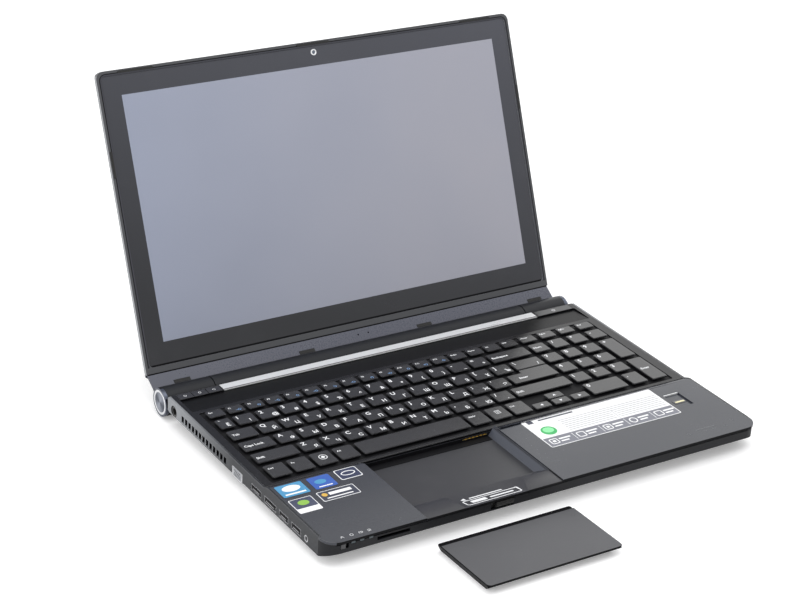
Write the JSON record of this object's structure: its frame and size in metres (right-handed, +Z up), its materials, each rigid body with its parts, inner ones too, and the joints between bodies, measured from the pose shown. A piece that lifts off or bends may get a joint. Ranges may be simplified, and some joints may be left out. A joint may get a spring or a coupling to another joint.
{
  "type": "laptop computer with removable touchpad",
  "caption": "Open laptop computer whose touchpad module has been lifted out of its bay in the palm rest and laid on the table in front.",
  "frame": {"origin": "on the table, under the middle of the footprint of the laptop and its module", "axes": "+X to the user's right, +Y from the user towards the hinge, +Z up"},
  "size_m": [0.3822, 0.4478, 0.2456],
  "materials": {
    "case_black": "matt",
    "frame_silver": "silver paint",
    "palm_metal": "dark brushed and lacquered",
    "deck_black": "gloss",
    "bay_grey": "satin",
    "contact_gold": "gold plate",
    "latch_black": "satin",
    "grille_black": "perforated",
    "inner_plastic": "matt",
    "strip_silver": "satin",
    "button_black": "gloss",
    "button_grey": "satin",
    "key_plate": "matt",
    "key_black": "satin",
    "circuit_board": "satin",
    "copper": "copper colour",
    "fan_black": "matt",
    "drive_metal": "cast",
    "battery_black": "matt",
    "drive_steel": "sheet",
    "tray_black": "satin",
    "rubber_black": "matt",
    "screw_black": "black oxide",
    "jack_black": "satin",
    "socket_steel": "nickel plate",
    "reader_grey": "gloss",
    "light_lens": "translucent",
    "barrel_grey": "satin paint",
    "hinge_steel": "sheet",
    "lid_grey": "lacquer",
    "rim_grey": "satin",
    "band_grey": "satin",
    "screen_glass": "glossy",
    "panel_grey": "off",
    "camera_black": "gloss",
    "chrome_ring": "polished",
    "pad_metal": "dark brushed",
    "pad_black": "gloss",
    "cell_silver": "foil"
  },
  "bodies": {
    "chassis": {"lower_case": "case_black", "side_frame_left": "frame_silver", "side_frame_right": "frame_silver", "palm_rest_left": "palm_metal", "palm_rest_right": "palm_metal", "keyboard_deck": "deck_black", "touchpad_bay": "bay_grey", "bay_contacts": "contact_gold", "speaker_panel": "grille_black", "speakers": "inner_plastic", "trim_strip": "strip_silver", "keyboard_plate": "key_plate", "motherboard": "circuit_board", "heat_sink": "copper", "fan_housing": "inner_plastic", "memory_modules": "circuit_board", "hard_drive": "drive_metal", "wireless_card": "circuit_board", "battery_pack": "battery_black", "optical_drive": "drive_steel", "service_cover": "case_black", "rubber_feet": "rubber_black", "case_screws": "screw_black", "power_jack": "jack_black", "side_sockets": "socket_steel", "fingerprint_reader": "reader_grey", "status_lights": "light_lens", "hinge_cover": "barrel_grey", "hinge_brackets": "hinge_steel", "pad_top_plate": "pad_metal", "pad_lower_case": "pad_black", "pad_board": "circuit_board", "pad_battery": "cell_silver"},
    "lid": {"lid_back_cover": "lid_grey", "lid_rim": "rim_grey", "lid_lower_band": "band_grey", "screen_glass": "screen_glass", "display_panel": "panel_grey", "camera_module": "camera_black", "lid_bumpers": "rubber_black", "lid_hinge_arms": "hinge_steel", "hinge_caps": "barrel_grey", "hinge_rings": "chrome_ring"},
    "fan_rotor": {"fan_rotor": "fan_black"},
    "optical_tray": {"optical_tray": "tray_black"},
    "eject_button": {"eject_button": "button_grey"},
    "bay_latch": {"bay_latch": "latch_black"},
    "battery_latch": {"battery_latch": "latch_black"},
    "radio_switch": {"radio_switch": "frame_silver"},
    "quick_buttons": {"quick_buttons": "button_black"},
    "power_button": {"power_button": "button_grey"},
    "function_keys": {"function_keys": "key_black"},
    "number_keys": {"number_keys": "key_black"},
    "tab_row_keys": {"tab_row_keys": "key_black"},
    "home_row_keys": {"home_row_keys": "key_black"},
    "shift_row_keys": {"shift_row_keys": "key_black"},
    "bottom_row_keys": {"bottom_row_keys": "key_black"},
    "space_bar": {"space_bar": "key_black"},
    "enter_key": {"enter_key": "key_black"},
    "numpad_keys": {"numpad_keys": "key_black"}
  },
  "joints": [
    {"name": "lid_hinge", "type": "hinge", "parent": "chassis", "child": "lid", "pos_m": [0, 0.11037, 0.0125], "axis": [1, 0, 0], "range_deg": [-22, 112.8]},
    {"name": "fan_spin", "type": "hinge", "parent": "chassis", "child": "fan_rotor", "pos_m": [-0.147, 0.03556, 0.01204], "axis": [0, -0.0262, 0.9997], "continuous": true},
    {"name": "tray_slide", "type": "slide", "parent": "chassis", "child": "optical_tray", "axis": [1, 0, 0], "range_m": [0, 0.11]},
    {"name": "eject_press", "type": "slide", "parent": "optical_tray", "child": "eject_button", "axis": [-1, 0, 0], "range_m": [0, 0.0005], "stiffness_N_per_m": 800},
    {"name": "bay_latch_slide", "type": "slide", "parent": "chassis", "child": "bay_latch", "axis": [-1, 0, 0], "range_m": [0, 0.004], "stiffness_N_per_m": 250},
    {"name": "battery_latch_slide", "type": "slide", "parent": "chassis", "child": "battery_latch", "axis": [1, 0, 0], "range_m": [0, 0.0035], "stiffness_N_per_m": 250},
    {"name": "radio_switch_slide", "type": "slide", "parent": "chassis", "child": "radio_switch", "axis": [1, 0, 0], "range_m": [0, 0.0024]},
    {"name": "quick_buttons_press", "type": "slide", "parent": "chassis", "child": "quick_buttons", "axis": [0, 0.0262, -0.9997], "range_m": [0, 0.0005], "stiffness_N_per_m": 2400},
    {"name": "power_button_press", "type": "slide", "parent": "chassis", "child": "power_button", "axis": [0, 0.0262, -0.9997], "range_m": [0, 0.0005], "stiffness_N_per_m": 1200},
    {"name": "function_keys_press", "type": "slide", "parent": "chassis", "child": "function_keys", "axis": [0, 0.0262, -0.9997], "range_m": [0, 0.0013], "stiffness_N_per_m": 8400},
    {"name": "number_keys_press", "type": "slide", "parent": "chassis", "child": "number_keys", "axis": [0, 0.0262, -0.9997], "range_m": [0, 0.0013], "stiffness_N_per_m": 5600},
    {"name": "tab_row_keys_press", "type": "slide", "parent": "chassis", "child": "tab_row_keys", "axis": [0, 0.0262, -0.9997], "range_m": [0, 0.0013], "stiffness_N_per_m": 5600},
    {"name": "home_row_keys_press", "type": "slide", "parent": "chassis", "child": "home_row_keys", "axis": [0, 0.0262, -0.9997], "range_m": [0, 0.0013], "stiffness_N_per_m": 4800},
    {"name": "shift_row_keys_press", "type": "slide", "parent": "chassis", "child": "shift_row_keys", "axis": [0, 0.0262, -0.9997], "range_m": [0, 0.0013], "stiffness_N_per_m": 4800},
    {"name": "bottom_row_keys_press", "type": "slide", "parent": "chassis", "child": "bottom_row_keys", "axis": [0, 0.0262, -0.9997], "range_m": [0, 0.0013], "stiffness_N_per_m": 4400},
    {"name": "space_bar_press", "type": "slide", "parent": "chassis", "child": "space_bar", "axis": [0, 0.0262, -0.9997], "range_m": [0, 0.0013], "stiffness_N_per_m": 800},
    {"name": "enter_key_press", "type": "slide", "parent": "chassis", "child": "enter_key", "axis": [0, 0.0262, -0.9997], "range_m": [0, 0.0013], "stiffness_N_per_m": 800},
    {"name": "numpad_keys_press", "type": "slide", "parent": "chassis", "child": "numpad_keys", "axis": [0, 0.0262, -0.9997], "range_m": [0, 0.0013], "stiffness_N_per_m": 6800}
  ]
}
